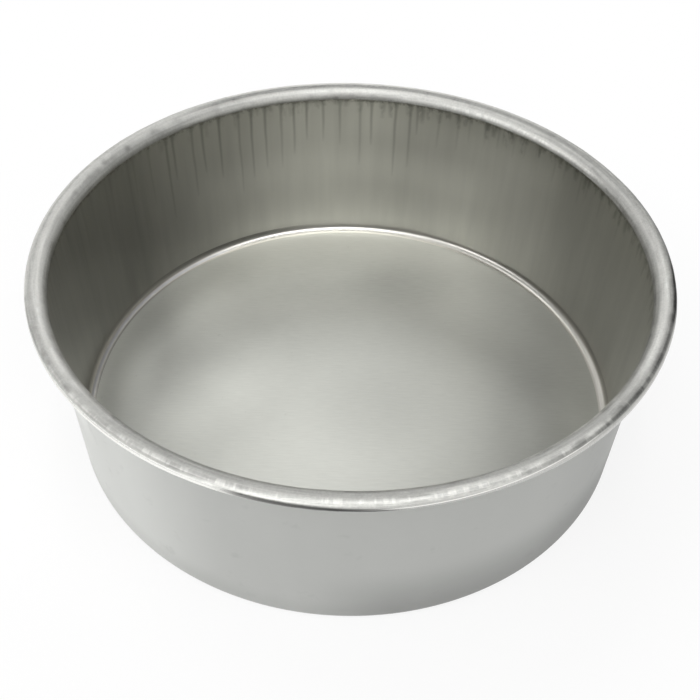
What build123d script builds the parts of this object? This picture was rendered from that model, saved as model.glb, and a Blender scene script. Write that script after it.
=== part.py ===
from build123d import *
import math
import os

# Round cake tin drawn from one disc of sheet, with a stiffening wire in its rolled rim.
# The origin is the middle of the underside, +Z is up. Lengths in millimetres, angles in degrees.

# Driving dimensions of the tin
rim_diameter = 238.0  # over the outside of the rolled rim
tin_height = 79.0  # from the table to the top of the rim
sheet_thickness = 0.8
wall_taper = 1.0  # lean of the wall, wider at the top, so that tins stack and cakes drop out
corner_radius = 3.6  # inside bend between floor and wall
flare_radius = 5.1  # inside face of the bend that carries the wall over into the roll

# Driving dimensions of the wire and of the roll that holds it
wire_diameter = 3.0
wire_clearance = 0.15  # between the wire and the sheet that wraps it
curl_turn = 250.0  # how far the sheet wraps round the wire, counted from the top of the rim

# Turns that name directions in the section
quarter_turn = 90.0
half_turn = 180.0
full_turn = 360.0

# Roll and flare share the highest point of the rim, where the sheet lies level
roll_radius = wire_diameter / 2 + wire_clearance + sheet_thickness
crest_reach = rim_diameter / 2 - roll_radius
roll_centre = Vector(crest_reach, tin_height - roll_radius)
flare_centre = Vector(crest_reach, tin_height - flare_radius)

# Directions across the wall, towards the inside of the tin, and down along it
lean = math.radians(wall_taper)
across_wall = Vector(-math.cos(lean), math.sin(lean))
down_wall = Vector(-math.sin(lean), -math.cos(lean))

# The wall runs straight from the flare to the corner at the floor
wall_top = flare_centre + across_wall * flare_radius
corner_height = sheet_thickness + corner_radius
wall_drop = wall_top.Y + across_wall.Y * corner_radius - corner_height
wall_foot = wall_top + down_wall * (wall_drop / math.cos(lean))
corner_centre = wall_foot + across_wall * corner_radius


def on_arc(centre, radius, angle):
    """The point of the section at an angle on a circle."""
    turn = math.radians(angle)
    return centre + Vector(math.cos(turn), math.sin(turn)) * radius


def sheet_face(depth):
    """One face of the sheet from the axis to the curl's end. At depth 0 it is the face that the cake touches."""
    aside = across_wall * -depth
    return [
        Line((0, sheet_thickness - depth), on_arc(corner_centre, corner_radius + depth, -quarter_turn)),
        CenterArc(corner_centre, corner_radius + depth, -quarter_turn, quarter_turn - wall_taper),
        Line(wall_foot + aside, wall_top + aside),
        CenterArc(flare_centre, flare_radius - depth, half_turn - wall_taper, wall_taper - quarter_turn),
        CenterArc(roll_centre, roll_radius - depth, quarter_turn, -curl_turn),
    ]


def tin_body():
    """Floor, wall, flare and curl as one sheet of even thickness, turned about the axis."""
    curl_end = quarter_turn - curl_turn
    ends = [
        Line((0, 0), (0, sheet_thickness)),
        Line(
            on_arc(roll_centre, roll_radius, curl_end),
            on_arc(roll_centre, roll_radius - sheet_thickness, curl_end),
        ),
    ]
    outline = Curve(sheet_face(0) + sheet_face(sheet_thickness) + ends)
    section = make_face(Plane.XZ * outline)
    return revolve(section, Axis.Z, full_turn)


def rim_wire():
    """Round wire bent to a ring inside the curl, its ends butt-welded, so that the ring is whole."""
    section = Plane.XZ * Pos(roll_centre.X, roll_centre.Y) * Circle(wire_diameter / 2)
    return revolve(section, Axis.Z, full_turn)


pieces = {"tin_body": tin_body, "rim_wire": rim_wire}

os.makedirs("parts", exist_ok=True)
for name, make in pieces.items():
    export_step(make(), f"parts/{name}.step")
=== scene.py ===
import math

import bpy
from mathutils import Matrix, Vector, noise


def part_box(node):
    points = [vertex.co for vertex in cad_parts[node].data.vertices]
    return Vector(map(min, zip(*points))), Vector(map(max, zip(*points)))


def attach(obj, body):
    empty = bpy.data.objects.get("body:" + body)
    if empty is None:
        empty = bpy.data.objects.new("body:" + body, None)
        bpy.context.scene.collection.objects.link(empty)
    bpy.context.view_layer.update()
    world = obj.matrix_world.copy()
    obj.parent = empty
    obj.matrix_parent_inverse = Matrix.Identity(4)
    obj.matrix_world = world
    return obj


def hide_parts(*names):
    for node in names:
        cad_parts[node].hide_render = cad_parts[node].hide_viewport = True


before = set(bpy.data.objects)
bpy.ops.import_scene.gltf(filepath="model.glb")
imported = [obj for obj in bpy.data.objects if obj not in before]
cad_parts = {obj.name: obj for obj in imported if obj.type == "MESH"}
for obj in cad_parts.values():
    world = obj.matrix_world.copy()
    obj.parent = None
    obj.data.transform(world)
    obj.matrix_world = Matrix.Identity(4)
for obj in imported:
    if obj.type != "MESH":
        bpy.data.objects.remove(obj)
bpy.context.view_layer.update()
mm = 0.001
degree = math.radians(1)

# Round cake tin, drawn from one sheet of bare aluminium, with a wire in its rolled rim.
# Every length is in metres, the camera stands at the front (-Y) and looks down into the tin.

lowest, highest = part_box("tin_body")
rimRadius = (highest.x - lowest.x) / 2
tinHeight = highest.z


# Small helpers that all the pieces use

def linearColour(hexColour):
    parts = [int(hexColour[i:i + 2], 16) / 255 for i in (1, 3, 5)]
    return [c / 12.92 if c <= 0.04045 else ((c + 0.055) / 1.055) ** 2.4 for c in parts] + [1.0]


def addNode(tree, kind, inputs=None, **settings):
    node = tree.nodes.new(kind)
    for name, value in settings.items():
        setattr(node, name, value)
    for key, value in (inputs or {}).items():
        if isinstance(value, bpy.types.NodeSocket):
            tree.links.new(value, node.inputs[key])
        else:
            node.inputs[key].default_value = value
    return node


def emptyMaterial(name):
    material = bpy.data.materials.new(name)
    material.use_nodes = True
    material.node_tree.nodes.clear()
    return material, material.node_tree


def smoothStep(low, high, value):
    share = min(max((value - low) / (high - low), 0.0), 1.0)
    return share * share * (3 - 2 * share)


# The section of the sheet, as places (reach, height) with the way that its upper face looks

tin = {
    "sheet": 0.8 * mm,
    "taper": math.radians(1.0),
    "cornerBend": 3.6 * mm,  # inside bend between floor and wall
    "flareBend": 5.1 * mm,  # carries the wall over into the roll
    "wire": 3.0 * mm,
    "wireRoom": 0.15 * mm,
    "curlTurn": math.radians(250.0),
    "segments": 720,  # around the tin
    "halvedWithin": (0.5, 0.25, 0.12),  # shares of the flat floor, the segments are halved inside each
    "floorRings": 30,
    "cornerRings": 10,
    "wallRings": 30,
    "flareRings": 9,
    "rollRings": 26,
}

sheet = tin["sheet"]
rollRadius = tin["wire"] / 2 + tin["wireRoom"] + sheet
crestReach = rimRadius - rollRadius
rollCentre = Vector((crestReach, tinHeight - rollRadius))
flareCentre = Vector((crestReach, tinHeight - tin["flareBend"]))
acrossWall = Vector((-math.cos(tin["taper"]), math.sin(tin["taper"])))
downWall = Vector((-math.sin(tin["taper"]), -math.cos(tin["taper"])))
wallTop = flareCentre + acrossWall * tin["flareBend"]
cornerHeight = sheet + tin["cornerBend"]
wallLength = (wallTop.y + acrossWall.y * tin["cornerBend"] - cornerHeight) / math.cos(tin["taper"])
wallFoot = wallTop + downWall * wallLength
cornerCentre = wallFoot + acrossWall * tin["cornerBend"]
flatRadius = cornerCentre.x


def arcStations(centre, radius, start, turn, rings, outward, zone):
    stations = []
    for i in range(1, rings + 1):
        angle = start + turn * i / rings
        way = Vector((math.cos(angle), math.sin(angle)))
        stations.append((centre + way * radius, way * outward, zone))
    return stations


def sheetStations():
    quarter = math.pi / 2
    taper = tin["taper"]
    floorRings = tin["floorRings"]
    wallRings = tin["wallRings"]
    up = Vector((0, 1))
    stations = []
    for i in range(1, floorRings + 1):
        stations.append((Vector((flatRadius * i / floorRings, sheet)), up, "floor"))
    stations += arcStations(cornerCentre, tin["cornerBend"], -quarter, quarter - taper,
                            tin["cornerRings"], -1, "corner")
    for i in range(1, wallRings + 1):
        stations.append((wallFoot.lerp(wallTop, i / wallRings), acrossWall, "wall"))
    stations += arcStations(flareCentre, tin["flareBend"], math.pi - taper, taper - quarter,
                            tin["flareRings"], 1, "flare")
    stations += arcStations(rollCentre, rollRadius, quarter, -tin["curlTurn"],
                            tin["rollRings"], 1, "roll")
    return stations


# Unevenness that the press and the rolling leave in the sheet, pushed straight out of its face

relief = {
    "floorLift": 0.25 * mm,  # the floor is sprung up a little in the middle
    "floorWave": 0.12 * mm,
    "floorWaveLength": 70 * mm,
    "floorFull": 0.9,  # share of the flat floor where its lift and its waves are full
    "wallWave": 0.10 * mm,
    "wallWaveLength": 55 * mm,
    "wallFull": 0.5,  # share of the tin's height from which the wall's waves are full
    "drawRipple": 0.035 * mm,  # upright ripples under the rim, where the sheet was squeezed most
    "drawRippleWidth": 6 * mm,
    "drawRippleSlim": 0.12,  # width of a ripple against its height
    "drawRippleReach": 34 * mm,
    "rimDapple": 0.06 * mm,  # small flats that the curling rolls leave
    "rimDappleSize": 4.5 * mm,
    "rimGrainDapple": 0.02 * mm,
    "rimGrainSize": 1.8 * mm,
    "rimFull": 0.6,  # how far below the top the flare's flats are full, as a share of the roll's radius
}


def sheetRelief(place, zone):
    # what shows on both faces of the sheet
    reach = math.hypot(place.x, place.y)
    onFloor = smoothStep(flatRadius, flatRadius * relief["floorFull"], reach)
    spring = 1 - (reach / flatRadius) ** 2 if reach < flatRadius else 0
    push = onFloor * relief["floorLift"] * spring
    push += onFloor * relief["floorWave"] * (0.5 + 0.5 * noise.noise(place / relief["floorWaveLength"]))
    if zone != "floor":
        upWall = smoothStep(cornerHeight, tinHeight * relief["wallFull"], place.z)
        push += upWall * relief["wallWave"] * noise.noise(place / relief["wallWaveLength"])
    return push


def faceRelief(place, zone):
    # what shows only on the face that the cake touches, which the roll turns outwards
    push = 0.0
    if zone in ("wall", "flare"):
        drop = tinHeight - place.z
        fade = smoothStep(relief["drawRippleReach"], 0, drop) * smoothStep(0, tin["flareBend"], drop)
        spot = Vector((place.x, place.y, place.z * relief["drawRippleSlim"])) / relief["drawRippleWidth"]
        push += fade * relief["drawRipple"] * noise.noise(spot)
    if zone in ("flare", "roll"):
        fullFrom = tinHeight - rollRadius * relief["rimFull"]
        onRim = smoothStep(tinHeight - tin["flareBend"], fullFrom, place.z) if zone == "flare" else 1.0
        push += onRim * relief["rimDapple"] * noise.noise(place / relief["rimDappleSize"])
        push += onRim * relief["rimGrainDapple"] * noise.noise(place / relief["rimGrainSize"])
    return push


zoneSlots = {  # the places of the finishes in the list of materials
    "floor": 0,
    "wall": 1,
    "flare": 2,
    "roll": 2,
    "outside": 3,
    "underside": 4,
    "edge": 5,
    "corner": 6,
}


def ringSize(reach):
    count = tin["segments"]
    for share in tin["halvedWithin"]:
        if reach < flatRadius * share:
            count //= 2
    return count


def addRing(verts, station, count, depth):
    point, way, zone = station
    start = len(verts)
    for i in range(count):
        angle = 2 * math.pi * i / count
        turn = Vector((math.sin(angle), -math.cos(angle), 0))  # starts at the front, -Y
        place = turn * point.x + Vector((0, 0, point.y))
        normal = turn * way.x + Vector((0, 0, way.y))
        push = sheetRelief(place, zone)
        if depth == 0:
            push += faceRelief(place, zone)
        verts.append(place + normal * (push - depth))
    return (start, count)


def joinRings(faces, slots, one, two, slot):
    # two rings of the same size take quads, a ring of half the size takes three triangles a step
    if one[1] == two[1]:
        for i in range(one[1]):
            j = (i + 1) % one[1]
            faces.append((one[0] + i, two[0] + i, two[0] + j, one[0] + j))
            slots.append(slot)
        return
    flip = one[1] < two[1]
    fine, coarse = (two, one) if flip else (one, two)
    for i in range(coarse[1]):
        j = (i + 1) % coarse[1]
        first, middle = fine[0] + 2 * i, fine[0] + 2 * i + 1
        last = fine[0] + (2 * i + 2) % fine[1]
        left, right = coarse[0] + i, coarse[0] + j
        for corners in ((first, left, middle), (middle, left, right), (middle, right, last)):
            faces.append(corners[::-1] if flip else corners)
            slots.append(slot)


def closeRing(faces, slots, ring, middle, slot, facingUp):
    for i in range(ring[1]):
        j = (i + 1) % ring[1]
        corners = (ring[0] + i, ring[0] + j, middle)
        faces.append(corners if facingUp else corners[::-1])
        slots.append(slot)


def backStations(stations):
    # the other face of the sheet, from the curl's end back to the middle of the underside
    kept = []
    for i, station in enumerate(reversed(stations)):
        zone = station[2]
        if zone in ("corner", "flare") or i % 2 == 0 or i == len(stations) - 1:
            kept.append(station)
    return kept


def buildTin():
    verts, faces, slots = [], [], []
    stations = sheetStations()
    middleUp = Vector((0, 0, sheet))
    verts.append(middleUp + Vector((0, 0, sheetRelief(middleUp, "floor"))))
    rings = [addRing(verts, station, ringSize(station[0].x), 0) for station in stations]
    closeRing(faces, slots, rings[0], 0, zoneSlots["floor"], True)
    for one, two, station in zip(rings, rings[1:], stations[1:]):
        joinRings(faces, slots, one, two, zoneSlots[station[2]])
    back = backStations(stations)
    backRings = []
    for station in back:
        count = ringSize(station[0].x)
        if station is not back[0]:
            count = min(count, tin["segments"] // 2)  # the outer face is plainer and takes fewer
        backRings.append(addRing(verts, station, count, sheet))
    joinRings(faces, slots, rings[-1], backRings[0], zoneSlots["edge"])
    for one, two, station in zip(backRings, backRings[1:], back[1:]):
        zone = "underside" if station[2] == "floor" else "outside"
        joinRings(faces, slots, one, two, zoneSlots[zone])
    verts.append(verts[0] - Vector((0, 0, sheet)))
    closeRing(faces, slots, backRings[-1], len(verts) - 1, zoneSlots["underside"], False)
    mesh = bpy.data.meshes.new("drawnTin")
    mesh.from_pydata([tuple(v) for v in verts], [], faces)
    mesh.polygons.foreach_set("material_index", slots)
    mesh.polygons.foreach_set("use_smooth", [s != zoneSlots["edge"] for s in slots])
    mesh.update()
    piece = bpy.data.objects.new("drawnTin", mesh)
    bpy.context.scene.collection.objects.link(piece)
    return piece


# Finishes. Every pattern is laid out in metres on the tin itself, so that its scale is a real one.

def findPlace(tree):
    # the place itself, the way along the round wall, the way down from the rim, and the place moved
    # straight out to the wall, where a pattern runs evenly round the tin
    coords = addNode(tree, "ShaderNodeTexCoord")
    split = addNode(tree, "ShaderNodeSeparateXYZ", {0: coords.outputs["Object"]})
    angle = addNode(tree, "ShaderNodeMath", {0: split.outputs["X"], 1: split.outputs["Y"]},
                    operation="ARCTAN2")
    around = addNode(tree, "ShaderNodeMath", {0: angle.outputs[0], 1: wallTop.x}, operation="MULTIPLY")
    drop = addNode(tree, "ShaderNodeMath", {0: tinHeight, 1: split.outputs["Z"]}, operation="SUBTRACT")
    flat = addNode(tree, "ShaderNodeVectorMath", {0: coords.outputs["Object"], 1: (1, 1, 0)},
                   operation="MULTIPLY")
    outward = addNode(tree, "ShaderNodeVectorMath", {0: flat.outputs[0]}, operation="NORMALIZE")
    ring = addNode(tree, "ShaderNodeVectorMath", {0: outward.outputs[0], "Scale": wallTop.x},
                   operation="SCALE")
    ringSplit = addNode(tree, "ShaderNodeSeparateXYZ", {0: ring.outputs[0]})
    wrapped = addNode(tree, "ShaderNodeCombineXYZ", {0: ringSplit.outputs["X"],
                                                     1: ringSplit.outputs["Y"],
                                                     2: split.outputs["Z"]})
    return {
        "place": coords.outputs["Object"],
        "flat": flat.outputs[0],
        "around": around.outputs[0],
        "drop": drop.outputs[0],
        "height": split.outputs["Z"],
        "wrapped": wrapped.outputs[0],
    }


def findBearing(tree, at):
    # the way round the tin: 0 at the front, a quarter turn at the right
    split = addNode(tree, "ShaderNodeSeparateXYZ", {0: at["place"]})
    toFront = addNode(tree, "ShaderNodeMath", {0: split.outputs["Y"], 1: -1.0}, operation="MULTIPLY")
    return addNode(tree, "ShaderNodeMath", {0: split.outputs["X"], 1: toFront.outputs[0]},
                   operation="ARCTAN2").outputs[0]


def sheetGrain(tree, place, size, detail=2.0, roughness=0.5):
    # noise whose grains have this size along X, along Y and upright
    scale = [1 / length for length in size]
    spread = addNode(tree, "ShaderNodeVectorMath", {0: place, 1: scale}, operation="MULTIPLY")
    grain = addNode(tree, "ShaderNodeTexNoise", {"Vector": spread.outputs[0], "Scale": 1.0,
                                                 "Detail": detail, "Roughness": roughness})
    return grain.outputs["Fac"]


def addTones(tree, tones):
    total = tones[0]
    for tone in tones[1:]:
        total = addNode(tree, "ShaderNodeMath", {0: total, 1: tone}, operation="ADD").outputs[0]
    return total


def blendMarks(tree, parts):
    # the sum of patterns around their middle, each times its own strength
    tones = []
    for pattern, strength in parts:
        centred = addNode(tree, "ShaderNodeMath", {0: pattern, 1: 0.5}, operation="SUBTRACT")
        scaled = addNode(tree, "ShaderNodeMath", {0: centred.outputs[0], 1: strength},
                         operation="MULTIPLY")
        tones.append(scaled.outputs[0])
    return addTones(tree, tones)


bandFull = (0.3, 0.65)  # shares of a band's half width where its painted tone is full, across it and round the tin


def paintedLightBands(tree, across, along, paintedPatches, units):
    # soft-edged windows of painted light and shade across the sheet and round the tin, that may climb as
    # they go round
    tones = []
    for patch in paintedPatches.values():
        low, high = [value * units[0] for value in patch["across"]]
        start, end = [value * units[1] for value in patch["round"]]
        off = addNode(tree, "ShaderNodeMath", {0: along, 1: (start + end) / 2}, operation="SUBTRACT")
        climb = addNode(tree, "ShaderNodeMath", {0: off.outputs[0], 1: -patch.get("climb", 0.0), 2: across},
                        operation="MULTIPLY_ADD")
        aside = addNode(tree, "ShaderNodeMath", {0: climb.outputs[0], 1: (low + high) / 2},
                        operation="SUBTRACT")
        tone = patch["tone"]
        for place, width, full in ((aside, high - low, bandFull[0]), (off, end - start, bandFull[1])):
            far = addNode(tree, "ShaderNodeMath", {0: place.outputs[0]}, operation="ABSOLUTE")
            window = addNode(tree, "ShaderNodeMapRange", {0: far.outputs[0], 1: width / 2,
                                                          2: width / 2 * full, 3: 0.0, 4: 1.0},
                             interpolation_type="SMOOTHSTEP")
            tone = addNode(tree, "ShaderNodeMath", {0: window.outputs[0], 1: tone},
                           operation="MULTIPLY").outputs[0]
        tones.append(tone)
    return tones


def metalShader(tree, look, tone, dark, roughness, bumps, tangent=None):
    # tone brightens and darkens the metal a little, dark takes it towards the stain. Its satin runs
    # round the tin, unless another way is given.
    lift = addNode(tree, "ShaderNodeMath", {0: tone, 1: 1.0}, operation="ADD")
    lifted = addNode(tree, "ShaderNodeVectorMath", {0: linearColour(look["colour"])[:3],
                                                    "Scale": lift.outputs[0]}, operation="SCALE")
    stained = addNode(tree, "ShaderNodeMix", {0: dark, 6: lifted.outputs[0],
                                              7: linearColour(look["stain"])}, data_type="RGBA")
    rough = addNode(tree, "ShaderNodeMath", {0: roughness, 1: look["roughness"]}, operation="ADD",
                    use_clamp=True)
    normal = None
    for height, depth in bumps:
        inputs = {"Height": height, "Strength": 1.0, "Distance": depth}
        if normal is not None:
            inputs["Normal"] = normal
        normal = addNode(tree, "ShaderNodeBump", inputs).outputs[0]
    if tangent is None:
        tangent = addNode(tree, "ShaderNodeTangent", direction_type="RADIAL", axis="Z").outputs[0]
    shader = addNode(tree, "ShaderNodeBsdfPrincipled", {
        "Metallic": look["metallic"],
        "Base Color": stained.outputs[2],
        "Roughness": rough.outputs[0],
        "Normal": normal,
        "Anisotropic": look["anisotropic"],
        "Tangent": tangent,
    })
    addNode(tree, "ShaderNodeOutputMaterial", {"Surface": shader.outputs[0]})


# In each finish, a tone makes the metal brighter and darker by that share and a haze does so to its
# roughness. From and Full are the levels of a pattern at which a mark starts to show and is full.

# Bare aluminium sheet as it comes off the rolls: soft satin with fine straight grain, mirror-like along
# the grain and hazy across it
rolledSheet = {
    "colour": "#C0C1BB",
    "stain": "#8E8D86",
    "metallic": 0.9,  # the rest is light that the fine grain scatters all ways
    "roughness": 0.39,
    "anisotropic": 0.75,
    "grainSize": (7 * mm, 0.6 * mm, 1.0),  # the real grain is about 0.1 mm wide, drawn coarser to show
    "grainDepth": 0.0012 * mm,
    "grainTone": 0.22,
    "grainHaze": 0.08,
    "cloudSize": 38 * mm,
    "cloudTone": 0.05,
    "cloudHaze": 0.05,
    "scuffSize": 3 * mm,
    "scuffFrom": 0.66,
    "scuffFull": 0.80,
    "scuffStain": 0.25,
}
# Soft patches of painted light and shade on the floor, standing in for the reflections it shows, in
# millimetres from its middle
floorPaintedLight = {
    "back": {"at": (-8, 74), "reach": (68, 36), "tone": -0.22},
    "left edge": {"at": (-108, 8), "reach": (30, 62), "tone": 0.86},
    "left, towards the back": {"at": (-74, 38), "reach": (36, 30), "tone": 0.14},
    "left, towards the front": {"at": (-64, -8), "reach": (34, 30), "tone": 0.17},
    "back, on the left": {"at": (-52, 58), "reach": (44, 34), "tone": -0.09},
    "back, on the right": {"at": (28, 66), "reach": (38, 28), "tone": -0.14},
    "right, towards the front": {"at": (86, -22), "reach": (24, 32), "tone": 0.20},
    "left of the back": {"at": (-86, 62), "reach": (36, 36), "tone": 0.30},
    "low on the left": {"at": (-76, -26), "reach": (30, 26), "tone": 0.16},
    "left of the middle": {"at": (-50, 8), "reach": (32, 34), "tone": 0.14},
    "middle": {"at": (10, -14), "reach": (36, 34), "tone": -0.10},
    "front": {"at": (10, -70), "reach": (90, 44), "tone": -0.06},
}
lightPatchFull = 0.15  # share of a painted patch's reach within which it is full


def millRolledAluminium(name, look, lightPatches):
    material, tree = emptyMaterial(name)
    at = findPlace(tree)
    grain = sheetGrain(tree, at["place"], look["grainSize"], detail=3.0, roughness=0.6)
    cloud = sheetGrain(tree, at["place"], [look["cloudSize"]] * 3, detail=1.0)
    scuff = sheetGrain(tree, at["place"], [look["scuffSize"]] * 3, detail=4.0, roughness=0.65)
    spots = addNode(tree, "ShaderNodeMapRange", {0: scuff, 1: look["scuffFrom"], 2: look["scuffFull"],
                                                 3: 0.0, 4: look["scuffStain"]})
    tones = [blendMarks(tree, [(grain, look["grainTone"]), (cloud, look["cloudTone"])])]
    # painted light and shade: each patch lightens or darkens the floor's colour in a soft oval
    for patch in lightPatches.values():
        shrink = [1 / (reach * mm) for reach in patch["reach"]] + [0.0]
        shift = [-middle * mm * share for middle, share in zip(patch["at"], shrink)] + [0.0]
        spread = addNode(tree, "ShaderNodeVectorMath", {0: at["place"], 1: shrink, 2: shift},
                         operation="MULTIPLY_ADD")
        away = addNode(tree, "ShaderNodeVectorMath", {0: spread.outputs[0]}, operation="LENGTH")
        window = addNode(tree, "ShaderNodeMapRange", {0: away.outputs["Value"], 1: 1.0, 2: lightPatchFull,
                                                      3: 0.0, 4: patch["tone"]},
                         interpolation_type="SMOOTHSTEP")
        tones.append(window.outputs[0])
    rough = blendMarks(tree, [(grain, look["grainHaze"]), (cloud, look["cloudHaze"])])
    across = addNode(tree, "ShaderNodeCombineXYZ", {0: 0.0, 1: 1.0, 2: 0.0})
    metalShader(tree, look, addTones(tree, tones), spots.outputs[0], rough,
                [(grain, look["grainDepth"])], across.outputs[0])
    return material


# The underside is the same sheet, rubbed duller by racks and shelves
rackRubbedSheet = dict(rolledSheet, colour="#C3C3C0", roughness=0.42, scuffSize=5 * mm)


# The same sheet after the press has drawn it up into the wall: upright die marks and dark streaks that start
# under the rim, with a painted shadow line of specks right under the rim
drawnSheet = {
    "colour": "#C9C8C1",
    "stain": "#5E5D54",
    "metallic": 1.0,
    "roughness": 0.33,
    "anisotropic": 0.9,
    "dieMarkSize": (0.7 * mm, 0.7 * mm, 30 * mm),
    "dieMarkDepth": 0.001 * mm,
    "dieMarkTone": 0.03,
    "dieMarkHaze": 0.02,
    "panelSize": (6 * mm, 6 * mm, 60 * mm),
    "panelTone": 0.22,
    "panelHaze": 0.04,
    "cloudSize": 40 * mm,
    "cloudTone": 0.08,
    "darkest": 0.62,
    "streakStart": 5.0 * mm,  # below the top of the rim
    "longUntil": 8 * mm,  # places along the wall, from the middle of the back to the right
    "shortFrom": 62 * mm,
    "faintUntil": -135 * mm,
    "strongFrom": -70 * mm,
    "faintShare": 0.30,
    "straySize": (14 * mm, 14 * mm, 24 * mm),  # of the bends in a streak
    "rootReach": 4 * mm,  # each streak spreads out where it starts
    "rootWidth": 0.9 * mm,
    "tipWidth": 0.7,  # share of its width that a streak keeps at its tip
    "tipFade": 0.45,  # under 1 a streak stays dark until close to its tip
    "palest": 0.5,  # the palest streak against the darkest
    "fewUntil": -30 * mm,  # the short smudges are paler before this place and full after the next one
    "manyFrom": 50 * mm,
    "fewShare": 0.5,
    "manyShare": 0.95,
    "gapSize": (3 * mm, 3 * mm, 5 * mm),  # of the gaps that break the smudges up
    "gapFrom": 0.38,
    "gapFull": 0.56,
    "speckSize": (1.6 * mm, 1.6 * mm, 1.2 * mm),
    "speckFrom": 0.34,
    "speckFull": 0.50,
    "rimShadowReach": 4 * mm,
    "rimShadowDark": 0.4,
}
# Painted light and shade on the inside wall: darker sides, a lighter lower back and a lighter band under the
# rim at the back right. Across is the way down from the rim, round the way along the wall from the middle of
# the back to the right, both in millimetres
wallPaintedLight = {
    "left side": {"across": (-200, 400), "round": (-348, -78), "tone": -0.35},
    "right side": {"across": (-200, 400), "round": (72, 348), "tone": -0.12},
    "lower back": {"across": (24, 92), "round": (-92, 80), "tone": 0.26},
    "under the rim at the back right": {"across": (-20, 30), "round": (-12, 118), "tone": 0.16},
}
longStreaks = {
    "spacing": 7.4 * mm,
    "uneven": 0.7,  # 0 puts them at even steps round the wall
    "width": 1.25 * mm,
    "shortest": 20 * mm,
    "longest": 46 * mm,
    "drift": 1.2 * mm,  # how far a streak strays to the side on its way down
    "rightShare": 0.34,
    "rightDark": 0.35,
    "dark": 0.55,
}
shortSmudges = {
    "spacing": 4.6 * mm,
    "uneven": 0.9,
    "width": 2.7 * mm,
    "shortest": 3 * mm,
    "longest": 10 * mm,
    "drift": 0.8 * mm,
    "rightShare": 1.0,
    "rightDark": 1.0,
    "dark": 0.74,
}


def uprightStreaks(tree, at, look, streak):
    # one dark line for each cell around the wall, each with its own length and strength, thinner downwards
    spacing = streak["spacing"]
    width = streak["width"] / spacing
    strayed = sheetGrain(tree, at["wrapped"], look["straySize"])
    bend = addNode(tree, "ShaderNodeMath", {0: strayed, 1: streak["drift"], 2: at["around"]},
                   operation="MULTIPLY_ADD")
    cells = addNode(tree, "ShaderNodeMath", {0: bend.outputs[0], 1: 1 / spacing}, operation="MULTIPLY")
    cell = addNode(tree, "ShaderNodeTexVoronoi", {"W": cells.outputs[0], "Scale": 1.0,
                                                  "Randomness": streak["uneven"]},
                   voronoi_dimensions="1D")
    own = addNode(tree, "ShaderNodeSeparateColor", {0: cell.outputs["Color"]})
    reach = addNode(tree, "ShaderNodeMapRange", {0: own.outputs[0], 1: 0.0, 2: 1.0,
                                                 3: streak["shortest"], 4: streak["longest"]})
    # the sheet gave way more on the right of the back, where the streaks stop short
    shorter = addNode(tree, "ShaderNodeMapRange", {0: at["around"], 1: look["longUntil"],
                                                   2: look["shortFrom"], 3: 1.0,
                                                   4: streak["rightShare"]},
                      interpolation_type="SMOOTHSTEP")
    length = addNode(tree, "ShaderNodeMath", {0: reach.outputs[0], 1: shorter.outputs[0]},
                     operation="MULTIPLY")
    below = addNode(tree, "ShaderNodeMath", {0: at["drop"], 1: look["streakStart"]},
                    operation="SUBTRACT")
    fade = addNode(tree, "ShaderNodeMapRange", {0: below.outputs[0], 1: 0.0, 2: length.outputs[0],
                                                3: 1.0, 4: 0.0})
    root = addNode(tree, "ShaderNodeMapRange", {0: below.outputs[0], 1: look["rootReach"], 2: 0.0,
                                                3: 0.0, 4: look["rootWidth"] / spacing})
    wide = addNode(tree, "ShaderNodeMapRange", {0: fade.outputs[0], 1: 0.0, 2: 1.0,
                                                3: look["tipWidth"] * width, 4: width})
    edge = addNode(tree, "ShaderNodeMath", {0: wide.outputs[0], 1: root.outputs[0]}, operation="ADD")
    line = addNode(tree, "ShaderNodeMapRange", {0: cell.outputs["Distance"], 1: 0.0,
                                                2: edge.outputs[0], 3: 1.0, 4: 0.0},
                   interpolation_type="SMOOTHSTEP")
    ended = addNode(tree, "ShaderNodeMath", {0: fade.outputs[0], 1: look["tipFade"]},
                    operation="POWER")
    strength = addNode(tree, "ShaderNodeMapRange", {0: own.outputs[1], 1: 0.0, 2: 1.0,
                                                    3: look["palest"], 4: 1.0})
    onLeft = addNode(tree, "ShaderNodeMapRange", {0: at["around"], 1: look["faintUntil"],
                                                  2: look["strongFrom"], 3: look["faintShare"],
                                                  4: 1.0}, interpolation_type="SMOOTHSTEP")
    onRight = addNode(tree, "ShaderNodeMapRange", {0: at["around"], 1: look["longUntil"],
                                                   2: look["shortFrom"], 3: 1.0,
                                                   4: streak["rightDark"]},
                      interpolation_type="SMOOTHSTEP")
    dark = streak["dark"]
    for part in (line, ended, strength, onLeft, onRight):
        dark = addNode(tree, "ShaderNodeMath", {0: part.outputs[0], 1: dark},
                       operation="MULTIPLY").outputs[0]
    return dark


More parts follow.
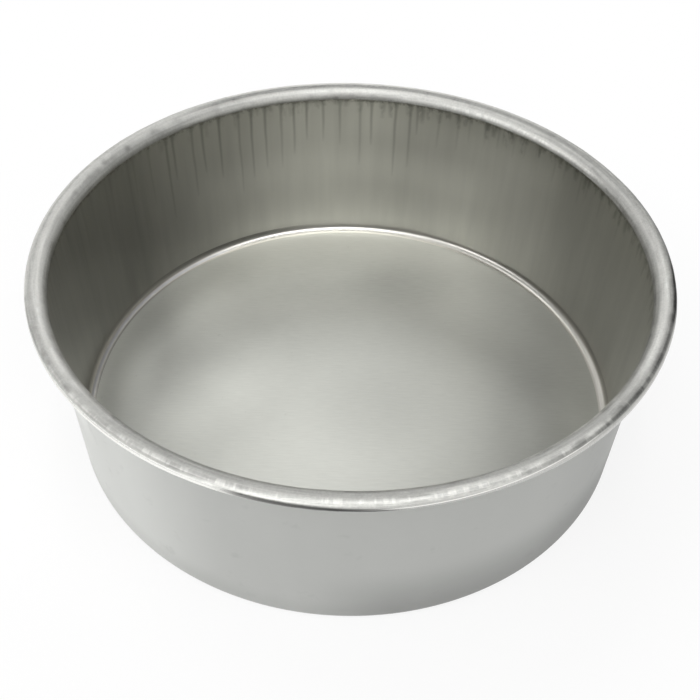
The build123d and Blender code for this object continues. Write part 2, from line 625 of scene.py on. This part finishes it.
def drawnAluminium(name, look):
    material, tree = emptyMaterial(name)
    at = findPlace(tree)
    marks = sheetGrain(tree, at["wrapped"], look["dieMarkSize"], roughness=0.6)
    panels = sheetGrain(tree, at["wrapped"], look["panelSize"])
    cloud = sheetGrain(tree, at["place"], [look["cloudSize"]] * 3, detail=1.0)
    streaks = uprightStreaks(tree, at, look, longStreaks)
    stubs = uprightStreaks(tree, at, look, shortSmudges)
    share = addNode(tree, "ShaderNodeMapRange", {0: at["around"], 1: look["fewUntil"],
                                                 2: look["manyFrom"], 3: look["fewShare"],
                                                 4: look["manyShare"]})
    smudges = addNode(tree, "ShaderNodeMath", {0: stubs, 1: share.outputs[0]}, operation="MULTIPLY")
    gaps = sheetGrain(tree, at["wrapped"], look["gapSize"], detail=3.0, roughness=0.6)
    broken = addNode(tree, "ShaderNodeMapRange", {0: gaps, 1: look["gapFrom"], 2: look["gapFull"],
                                                  3: 0.0, 4: 1.0})
    # painted shadow of the rim: dark specks in a thin uneven line right under it
    speckle = sheetGrain(tree, at["wrapped"], look["speckSize"], detail=3.0, roughness=0.7)
    underRimShade = addNode(tree, "ShaderNodeMapRange", {0: at["drop"], 1: look["streakStart"],
                                                  2: look["streakStart"] + look["rimShadowReach"],
                                                  3: 1.0, 4: 0.0})
    speckled = addNode(tree, "ShaderNodeMath", {0: speckle, 1: underRimShade.outputs[0]},
                       operation="MULTIPLY")
    specks = addNode(tree, "ShaderNodeMapRange", {0: speckled.outputs[0], 1: look["speckFrom"],
                                                  2: look["speckFull"], 3: 0.0,
                                                  4: look["rimShadowDark"]})
    lined = addNode(tree, "ShaderNodeMath", {0: smudges.outputs[0], 1: broken.outputs[0], 2: streaks},
                    operation="MULTIPLY_ADD")
    summed = addNode(tree, "ShaderNodeMath", {0: lined.outputs[0], 1: specks.outputs[0]},
                     operation="ADD")
    dark = addNode(tree, "ShaderNodeMath", {0: summed.outputs[0], 1: look["darkest"]},
                   operation="MINIMUM")
    mixed = blendMarks(tree, [(marks, look["dieMarkTone"]), (panels, look["panelTone"]),
                              (cloud, look["cloudTone"])])
    # the inside wall's painted light and shade goes into its tone here
    tone = addTones(tree, [mixed] + paintedLightBands(tree, at["drop"], at["around"], wallPaintedLight, (mm, mm)))
    rough = blendMarks(tree, [(marks, look["dieMarkHaze"]), (panels, look["panelHaze"])])
    metalShader(tree, look, tone, dark.outputs[0], rough, [(marks, look["dieMarkDepth"])])
    return material


# The outer side of the drawn wall slid along the die: paler and duller, with faint upright marks
slidSheet = {
    "colour": "#B3B4B1",
    "stain": "#858582",
    "metallic": 0.8,
    "roughness": 0.50,
    "anisotropic": 0.0,
    "dieMarkSize": (0.8 * mm, 0.8 * mm, 30 * mm),
    "dieMarkDepth": 0.001 * mm,
    "dieMarkTone": 0.02,
    "dieMarkHaze": 0.05,
    "panelSize": (11 * mm, 11 * mm, 70 * mm),
    "panelTone": 0.05,
    "panelHaze": 0.04,
    "smudgeSize": 9 * mm,
    "smudgeTone": 0.03,
    "smudgeFrom": 0.62,
    "smudgeFull": 0.78,
    "smudgeStain": 0.24,
}
# Painted light and shade on the outside: lighter on the left and the top left, darker on the right and at
# the foot, where shade falls near the floor. Height in millimetres and bearing in degrees from the front to
# the right
outsidePaintedLight = {
    "left side": {"across": (-200, 280), "round": (-160, -18), "tone": 0.29},
    "right side": {"across": (-200, 280), "round": (34, 150), "tone": -0.15},
    "top on the left": {"across": (34, 120), "round": (-94, -50), "tone": 0.36},
    "foot on the right": {"across": (-34, 34), "round": (-10, 112), "tone": -0.26},
    "foot in the middle": {"across": (-16, 15), "round": (-26, 50), "tone": -0.08},
    "foot on the left": {"across": (-16, 16), "round": (-90, -14), "tone": -0.12},
}


def slidAluminium(name, look):
    material, tree = emptyMaterial(name)
    at = findPlace(tree)
    marks = sheetGrain(tree, at["wrapped"], look["dieMarkSize"], roughness=0.6)
    panels = sheetGrain(tree, at["wrapped"], look["panelSize"], detail=1.0)
    smudge = sheetGrain(tree, at["place"], [look["smudgeSize"]] * 3, detail=4.0, roughness=0.6)
    wearAndPaintedLight = addNode(tree, "ShaderNodeMapRange", {0: smudge, 1: look["smudgeFrom"], 2: look["smudgeFull"],
                                                3: 0.0, 4: look["smudgeStain"]})
    mixed = blendMarks(tree, [(marks, look["dieMarkTone"]), (panels, look["panelTone"]),
                              (smudge, look["smudgeTone"])])
    bearing = findBearing(tree, at)
    # the outside's painted light and shade goes into its tone here
    tone = addTones(tree, [mixed] + paintedLightBands(tree, at["height"], bearing, outsidePaintedLight, (mm, degree)))
    rough = blendMarks(tree, [(marks, look["dieMarkHaze"]), (panels, look["panelHaze"])])
    metalShader(tree, look, tone, wearAndPaintedLight.outputs[0], rough, [(marks, look["dieMarkDepth"])])
    return material


# The sheet's edge, rolled over by curling rolls: satin and mottled on top, where it was stretched,
# and rubbed smooth and bright where the rolls pressed on the outside
curledSheet = {
    "colour": "#CDCDC9",
    "stain": "#5A5A56",
    "metallic": 1.0,
    "roughness": 0.53,
    "anisotropic": 0.0,
    "rubbedFrom": (147 * degree, 160 * degree),  # round the section, left of the front and right of it
    "rubbedWithin": 9 * degree,
    "rubbedLeft": -38 * degree,
    "rubbedRight": -16 * degree,
    "rubbedGloss": 0.30,
    "barSize": (2.6 * mm, 2.6 * mm, 14 * mm),  # short bars across the roll, where the rolls chattered
    "barDepth": 0.06 * mm,
    "barTone": 0.12,
    "barHaze": 0.25,
    "beadFrom": 0.50,
    "beadFull": 0.60,
    "scoreSize": (16 * mm, 16 * mm, 0.30 * mm),  # fine lines along the rim, scored by the curling rolls
    "scoreTone": 0.40,
    "flatSize": 4.5 * mm,
    "flatDepth": 0.12 * mm,
    "flatTone": 0.50,
    "flatHaze": 0.3,
    "pitSize": 0.8 * mm,
    "pitDepth": 0.010 * mm,
    "pitTone": 0.42,
    "pitHaze": 0.2,
    "stainFrom": 0.50,
    "stainFull": 0.70,
    "stainShare": 0.10,
}
# Painted glints: where the bars are brightened into bright beads, in the same degrees as the painted light
# below
rimPaintedGlints = {
    "crest of the front": {"across": (88, 142), "round": (-70, 75), "tone": 0.26},
    "inner edge at the back right": {"across": (12, 36), "round": (108, 164), "tone": 0.15},
}
# Painted highlights, reflections and shade on the rim. Across goes round the section: 0 faces the cake, 90
# is the top,
# 180 faces outwards. Round is the bearing: 0 at the front, 90 at the right, 180 at the back. All in degrees.
rimPaintedLight = {
    "foot of the flare": {"across": (-30, 30), "round": (-400, 400), "tone": -0.36},
    "inside of the front": {"across": (36, 96), "round": (-56, 65), "tone": -0.35},
    "outside of the front": {"across": (122, 160), "round": (-26, 32), "tone": 0.40},
    "crest of the front": {"across": (90, 130), "round": (-36, 30), "tone": -0.09},
    "right of the front": {"across": (76, 120), "round": (10, 48), "tone": 0.42},
    "top of the back": {"across": (56, 92), "round": (80, 280), "tone": -0.38},
    "top of the back on the left": {"across": (56, 92), "round": (-225, -135), "tone": -0.38},
    "foot of the flare on the back left": {"across": (2, 36), "round": (-178, -134), "tone": 0.36},
    "foot of the flare on the right": {"across": (6, 54), "round": (46, 126), "tone": -0.28},
    "inside of the left": {"across": (30, 74), "round": (-150, -62), "tone": 0.32},
    "outside of the right": {"across": (96, 146), "round": (34, 92), "tone": -0.50},
    "shoulder of the right": {"across": (102, 190), "round": (68, 116), "tone": -0.72},
    "low on the left": {"across": (120, 156), "round": (-78, -12), "tone": -0.44},
    "painted reflection band on the left": {"across": (146, 240), "round": (-100, -8), "tone": 0.46},
    "painted reflection band near the front": {"across": (152, 236), "round": (-48, -12), "tone": 0.20},
    "bright line low on the right": {"across": (155, 169), "round": (-2, 46), "climb": -1.17, "tone": 0.60},
    "under the right": {"across": (158, 240), "round": (-10, 70), "tone": -0.20},
    "painted shade low on the front": {"across": (148, 222), "round": (-20, 9), "climb": 1.2, "tone": -0.80},
}


def curledAluminium(name, look):
    material, tree = emptyMaterial(name)
    at = findPlace(tree)
    bearing = findBearing(tree, at)
    # turn round the section, about the flare's centre inside the crest and the roll's centre outside it
    reach = addNode(tree, "ShaderNodeVectorMath", {0: at["flat"]}, operation="LENGTH")
    inward = addNode(tree, "ShaderNodeMath", {0: crestReach, 1: reach.outputs["Value"]},
                     operation="SUBTRACT")
    onRoll = addNode(tree, "ShaderNodeMath", {0: inward.outputs[0], 1: 0.0}, operation="LESS_THAN")
    middle = addNode(tree, "ShaderNodeMapRange", {0: onRoll.outputs[0], 1: 0.0, 2: 1.0,
                                                  3: flareCentre.y, 4: rollCentre.y})
    up = addNode(tree, "ShaderNodeMath", {0: at["height"], 1: middle.outputs[0]}, operation="SUBTRACT")
    bent = addNode(tree, "ShaderNodeMath", {0: up.outputs[0], 1: inward.outputs[0]},
                   operation="ARCTAN2")
    turn = addNode(tree, "ShaderNodeMath", {0: bent.outputs[0], 1: 270 * degree, 2: -90 * degree},
                   operation="WRAP").outputs[0]
    # the rolls rubbed a wide band smooth on the left of the front and only a narrow one on the right
    first = addNode(tree, "ShaderNodeMapRange", {0: bearing, 1: look["rubbedLeft"],
                                                 2: look["rubbedRight"], 3: look["rubbedFrom"][0],
                                                 4: look["rubbedFrom"][1]},
                    interpolation_type="SMOOTHSTEP")
    past = addNode(tree, "ShaderNodeMath", {0: turn, 1: first.outputs[0]}, operation="SUBTRACT")
    smooth = addNode(tree, "ShaderNodeMapRange", {0: past.outputs[0], 1: 0.0, 2: look["rubbedWithin"],
                                                  3: 0.0, 4: 1.0}, interpolation_type="SMOOTHSTEP")
    mottled = addNode(tree, "ShaderNodeMath", {0: 1.0, 1: smooth.outputs[0]}, operation="SUBTRACT")
    bars = sheetGrain(tree, at["wrapped"], look["barSize"], roughness=0.6)
    flats = sheetGrain(tree, at["place"], [look["flatSize"]] * 3)
    pits = sheetGrain(tree, at["place"], [look["pitSize"]] * 3, roughness=0.6)
    # fine lines that run round the tin, laid out by the way round the section
    ringSplit = addNode(tree, "ShaderNodeSeparateXYZ", {0: at["wrapped"]})
    unrolled = addNode(tree, "ShaderNodeMath", {0: turn, 1: rollRadius}, operation="MULTIPLY")
    unwound = addNode(tree, "ShaderNodeCombineXYZ", {0: ringSplit.outputs["X"],
                                                     1: ringSplit.outputs["Y"],
                                                     2: unrolled.outputs[0]})
    scores = sheetGrain(tree, unwound.outputs[0], look["scoreSize"], detail=3.0, roughness=0.6)
    spots = blendMarks(tree, [(bars, look["barTone"]), (flats, look["flatTone"]),
                              (pits, look["pitTone"]), (scores, look["scoreTone"])])
    pressed = addNode(tree, "ShaderNodeMapRange", {0: bars, 1: look["beadFrom"], 2: look["beadFull"],
                                                   3: 0.0, 4: 1.0}, interpolation_type="SMOOTHSTEP")
    # painted glints: the bars are brightened inside the windows listed above
    strong = addTones(tree, paintedLightBands(tree, turn, bearing, rimPaintedGlints, (degree, degree)))
    beaded = addNode(tree, "ShaderNodeMath", {0: pressed.outputs[0], 1: strong, 2: spots},
                     operation="MULTIPLY_ADD")
    grained = addNode(tree, "ShaderNodeMath", {0: beaded.outputs[0], 1: mottled.outputs[0]},
                      operation="MULTIPLY")
    # painted highlights, reflections and shade round the rim
    wearAndPaintedLight = paintedLightBands(tree, turn, bearing, rimPaintedLight, (degree, degree))
    tone = addTones(tree, [grained.outputs[0]] + wearAndPaintedLight)
    rubbed = addNode(tree, "ShaderNodeMapRange", {0: flats, 1: look["stainFrom"], 2: look["stainFull"],
                                                  3: 0.0, 4: look["stainShare"]})
    stained = addNode(tree, "ShaderNodeMath", {0: rubbed.outputs[0], 1: mottled.outputs[0]},
                      operation="MULTIPLY")
    uneven = blendMarks(tree, [(bars, look["barHaze"]), (flats, look["flatHaze"]),
                               (pits, look["pitHaze"])])
    rough = addNode(tree, "ShaderNodeMath", {0: smooth.outputs[0], 1: -look["rubbedGloss"], 2: uneven},
                    operation="MULTIPLY_ADD")
    bumps = [(bars, look["barDepth"]), (flats, look["flatDepth"]), (pits, look["pitDepth"])]
    metalShader(tree, look, tone, stained.outputs[0], rough.outputs[0], bumps)
    return material


# The bend at the floor, ironed smooth by the nose of the punch: the brightest line on the tin
ironedSheet = {
    "colour": "#D7D5CF",
    "stain": "#A09F99",
    "metallic": 1.0,
    "roughness": 0.34,
    "anisotropic": 0.5,
    "lineSize": (12 * mm, 12 * mm, 0.5 * mm),
    "lineDepth": 0.004 * mm,
    "lineTone": 0.06,
    "lineHaze": 0.06,
}
# Painted reflection and highlight: where the bend mirrors the dim wall and where it catches the light.
# Across goes
# round the bend: 0 at the floor, 90 at the wall. Round is the bearing from the front. Both in degrees.
bendPaintedReflections = {
    "wall side on the left": {"across": (40, 130), "round": (-174, -46), "tone": -0.50},
    "line on the left": {"across": (6, 50), "round": (-162, -40), "tone": 0.62},
    "wall side on the right": {"across": (52, 124), "round": (40, 150), "tone": -0.36},
    "line on the right": {"across": (8, 60), "round": (40, 140), "tone": 0.42},
}


def ironedAluminium(name, look):
    material, tree = emptyMaterial(name)
    at = findPlace(tree)
    bearing = findBearing(tree, at)
    reach = addNode(tree, "ShaderNodeVectorMath", {0: at["flat"]}, operation="LENGTH")
    outwards = addNode(tree, "ShaderNodeMath", {0: reach.outputs["Value"], 1: cornerCentre.x},
                       operation="SUBTRACT")
    down = addNode(tree, "ShaderNodeMath", {0: cornerCentre.y, 1: at["height"]}, operation="SUBTRACT")
    turn = addNode(tree, "ShaderNodeMath", {0: outwards.outputs[0], 1: down.outputs[0]},
                   operation="ARCTAN2").outputs[0]
    lines = sheetGrain(tree, at["wrapped"], look["lineSize"])
    # painted reflection of the dim wall and painted highlight lines on the bend
    wearAndPaintedLight = paintedLightBands(tree, turn, bearing, bendPaintedReflections, (degree, degree))
    tone = addTones(tree, [blendMarks(tree, [(lines, look["lineTone"])])] + wearAndPaintedLight)
    rough = blendMarks(tree, [(lines, look["lineHaze"])])
    metalShader(tree, look, tone, 0.0, rough, [(lines, look["lineDepth"])])
    return material


# The cut edge of the sheet inside the curl: torn dull by the shears
shearedSheet = {
    "colour": "#BDBDB9",
    "stain": "#7C7C78",
    "metallic": 1.0,
    "roughness": 0.5,
    "anisotropic": 0.0,
    "tearSize": 0.5 * mm,
    "tearDepth": 0.03 * mm,
    "tearTone": 0.2,
    "tearHaze": 0.2,
}


def shearedAluminium(name, look):
    material, tree = emptyMaterial(name)
    at = findPlace(tree)
    tears = sheetGrain(tree, at["place"], [look["tearSize"]] * 3, detail=3.0, roughness=0.6)
    tone = blendMarks(tree, [(tears, look["tearTone"])])
    rough = blendMarks(tree, [(tears, look["tearHaze"])])
    metalShader(tree, look, tone, tears, rough, [(tears, look["tearDepth"])])
    return material


# Plain steel wire, drawn through a die: grey, with fine lines along its length
drawnWire = {
    "colour": "#A9ABAD",
    "stain": "#6B6C6E",
    "metallic": 1.0,
    "roughness": 0.35,
    "anisotropic": 0.6,
    "lineSize": (15 * mm, 15 * mm, 0.3 * mm),
    "lineDepth": 0.004 * mm,
    "lineTone": 0.1,
    "lineHaze": 0.1,
}


def drawnSteel(name, look):
    material, tree = emptyMaterial(name)
    at = findPlace(tree)
    lines = sheetGrain(tree, at["wrapped"], look["lineSize"])
    tone = blendMarks(tree, [(lines, look["lineTone"])])
    rough = blendMarks(tree, [(lines, look["lineHaze"])])
    metalShader(tree, look, tone, lines, rough, [(lines, look["lineDepth"])])
    return material


materials = [  # in the order of zoneSlots
    millRolledAluminium("millRolledAluminiumFloor", rolledSheet, floorPaintedLight),
    drawnAluminium("drawnAluminiumWall", drawnSheet),
    curledAluminium("curledAluminiumRim", curledSheet),
    slidAluminium("slidAluminiumOutside", slidSheet),
    millRolledAluminium("millRolledAluminiumUnderside", rackRubbedSheet, {}),
    shearedAluminium("shearedAluminiumEdge", shearedSheet),
    ironedAluminium("ironedAluminiumCorner", ironedSheet),
]

drawnTin = buildTin()
for material in materials:
    drawnTin.data.materials.append(material)
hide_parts("tin_body")
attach(drawnTin, "root")
print("tin:", len(drawnTin.data.vertices), "points,", len(drawnTin.data.polygons), "faces")

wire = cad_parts["rim_wire"]
wire.data.materials.clear()
wire.data.materials.append(drawnSteel("drawnSteelWire", drawnWire))
print("wire: steel finish on", wire.name)

# The floor: white paper that keeps the tin's shadow close by and runs out to plain white

paper = {
    "radius": 6.0,
    "colour": "#FAFAFA",
    "shadowShare": 0.18,  # how much of the floor's look near the tin is its own light and shade
    "shadowNear": 120 * mm,
    "shadowFar": 250 * mm,
    "sides": 96,
}


def buildFloor():
    count = paper["sides"]
    verts = [(0, 0, 0)]
    for i in range(count):
        turn = 2 * math.pi * i / count
        verts.append((paper["radius"] * math.cos(turn), paper["radius"] * math.sin(turn), 0))
    faces = [(0, 1 + i, 1 + (i + 1) % count) for i in range(count)]
    mesh = bpy.data.meshes.new("paperFloor")
    mesh.from_pydata(verts, [], faces)
    floor = bpy.data.objects.new("paperFloor", mesh)
    bpy.context.scene.collection.objects.link(floor)
    material, tree = emptyMaterial("whitePaper")
    coords = addNode(tree, "ShaderNodeTexCoord")
    away = addNode(tree, "ShaderNodeVectorMath", {0: coords.outputs["Object"]}, operation="LENGTH")
    share = addNode(tree, "ShaderNodeMapRange", {0: away.outputs["Value"], 1: paper["shadowNear"],
                                                 2: paper["shadowFar"], 3: 1 - paper["shadowShare"],
                                                 4: 1.0}, interpolation_type="SMOOTHSTEP")
    path = addNode(tree, "ShaderNodeLightPath")
    seen = addNode(tree, "ShaderNodeMath", {0: path.outputs["Is Camera Ray"],
                                            1: path.outputs["Is Glossy Ray"]}, operation="MAXIMUM")
    seenThrough = addNode(tree, "ShaderNodeMath", {0: seen.outputs[0],
                                                   1: path.outputs["Is Transmission Ray"]},
                          operation="MAXIMUM")
    white = addNode(tree, "ShaderNodeMath", {0: seenThrough.outputs[0], 1: share.outputs[0]},
                    operation="MULTIPLY")
    shaded = addNode(tree, "ShaderNodeBsdfDiffuse", {"Color": linearColour(paper["colour"])})
    plain = addNode(tree, "ShaderNodeEmission", {"Color": (1, 1, 1, 1), "Strength": 1.0})
    mixed = addNode(tree, "ShaderNodeMixShader", {0: white.outputs[0], 1: shaded.outputs[0],
                                                  2: plain.outputs[0]})
    addNode(tree, "ShaderNodeOutputMaterial", {"Surface": mixed.outputs[0]})
    mesh.materials.append(material)


buildFloor()

# Camera, fitted to the rim, the wall and the floor ring in the 700 x 700 photograph

view = {
    "focalPixels": 960.0,
    "framePixels": 700.0,
    "sensor": 36.0,
    "distance": 3.0393 * rimRadius,
    "elevation": math.radians(38.886),
    "tiltUp": math.radians(6.047),
    "swing": math.radians(-0.051),
    "roll": math.radians(1.5185),
}


def placeCamera():
    lens = bpy.data.cameras.new("photoCamera")
    lens.sensor_width = view["sensor"]
    lens.lens = view["sensor"] * view["focalPixels"] / view["framePixels"]
    camera = bpy.data.objects.new("photoCamera", lens)
    camera.rotation_mode = "ZYX"
    camera.rotation_euler = (math.pi / 2 - view["elevation"] - view["tiltUp"], view["swing"], view["roll"])
    camera.location = (0, -view["distance"] * math.cos(view["elevation"]),
                       rollCentre.y + view["distance"] * math.sin(view["elevation"]))
    bpy.context.scene.collection.objects.link(camera)
    bpy.context.scene.camera = camera


placeCamera()

# Light: a pale horizon under a dim ceiling, and soft boxes around the tin.
# Turn is counted from the front over the right, rise from the floor up, both to the middle of the box.

studio = {
    "sky": [(0, 1.0), (4, 1.0), (9, 0.63), (13, 0.62), (23, 0.113)],  # rise in degrees and strength there
    "distance": 1.6,  # from the tin to each soft box
}
softBoxes = {  # turn, rise, width and height as angles seen from the tin, and watts
    "frontBox": (15, 62, 120, 28, 12.0),
    "backTopBox": (210, 69, 90, 14, 2.6),
    "leftBox": (300, 40, 30, 15, 3.4),
    "backStrip": (180, 33, 30, 30, 4.4),
    "backLeftBox": (225, 25, 30, 30, 2.1),
    "lowLeftStrip": (285, 10, 60, 15, 8.0),
    "frontLeftStrip": (330, 10, 30, 15, 3.9),
    "topStrip": (0, 88, 60, 24, 1.6),
}


def lightWorld():
    world = bpy.data.worlds.new("studio")
    bpy.context.scene.world = world
    world.use_nodes = True
    tree = world.node_tree
    tree.nodes.clear()
    coords = addNode(tree, "ShaderNodeTexCoord")
    split = addNode(tree, "ShaderNodeSeparateXYZ", {0: coords.outputs["Generated"]})
    level = addNode(tree, "ShaderNodeValToRGB", {0: split.outputs["Z"]})
    stops = level.color_ramp.elements
    while len(stops) < len(studio["sky"]):
        stops.new(0.5)  # put in its own place below
    for stop, (rise, strength) in zip(stops, studio["sky"]):
        stop.position = math.sin(math.radians(rise))
        stop.color = (strength, strength, strength, 1)
    light = addNode(tree, "ShaderNodeBackground", {"Color": level.outputs[0], "Strength": 1.0})
    addNode(tree, "ShaderNodeOutputWorld", {"Surface": light.outputs[0]})


def hangSoftBox(name, turn, rise, width, height, watts):
    turn, rise = math.radians(turn), math.radians(rise)
    light = bpy.data.lights.new(name, "AREA")
    light.shape = "RECTANGLE"
    light.size = 2 * studio["distance"] * math.cos(rise) * math.sin(math.radians(width) / 2)
    light.size_y = 2 * studio["distance"] * math.tan(math.radians(height) / 2)
    light.energy = watts
    box = bpy.data.objects.new(name, light)
    way = Vector((math.sin(turn) * math.cos(rise), -math.cos(turn) * math.cos(rise), math.sin(rise)))
    box.location = way * studio["distance"]
    box.rotation_euler = (-way).to_track_quat("-Z", "Y").to_euler()
    box.visible_camera = False
    bpy.context.scene.collection.objects.link(box)


lightWorld()
for name, values in softBoxes.items():
    hangSoftBox(name, *values)
print("light:", len(softBoxes), "soft boxes")

bpy.context.scene.view_settings.view_transform = "Standard"

bpy.context.view_layer.update()
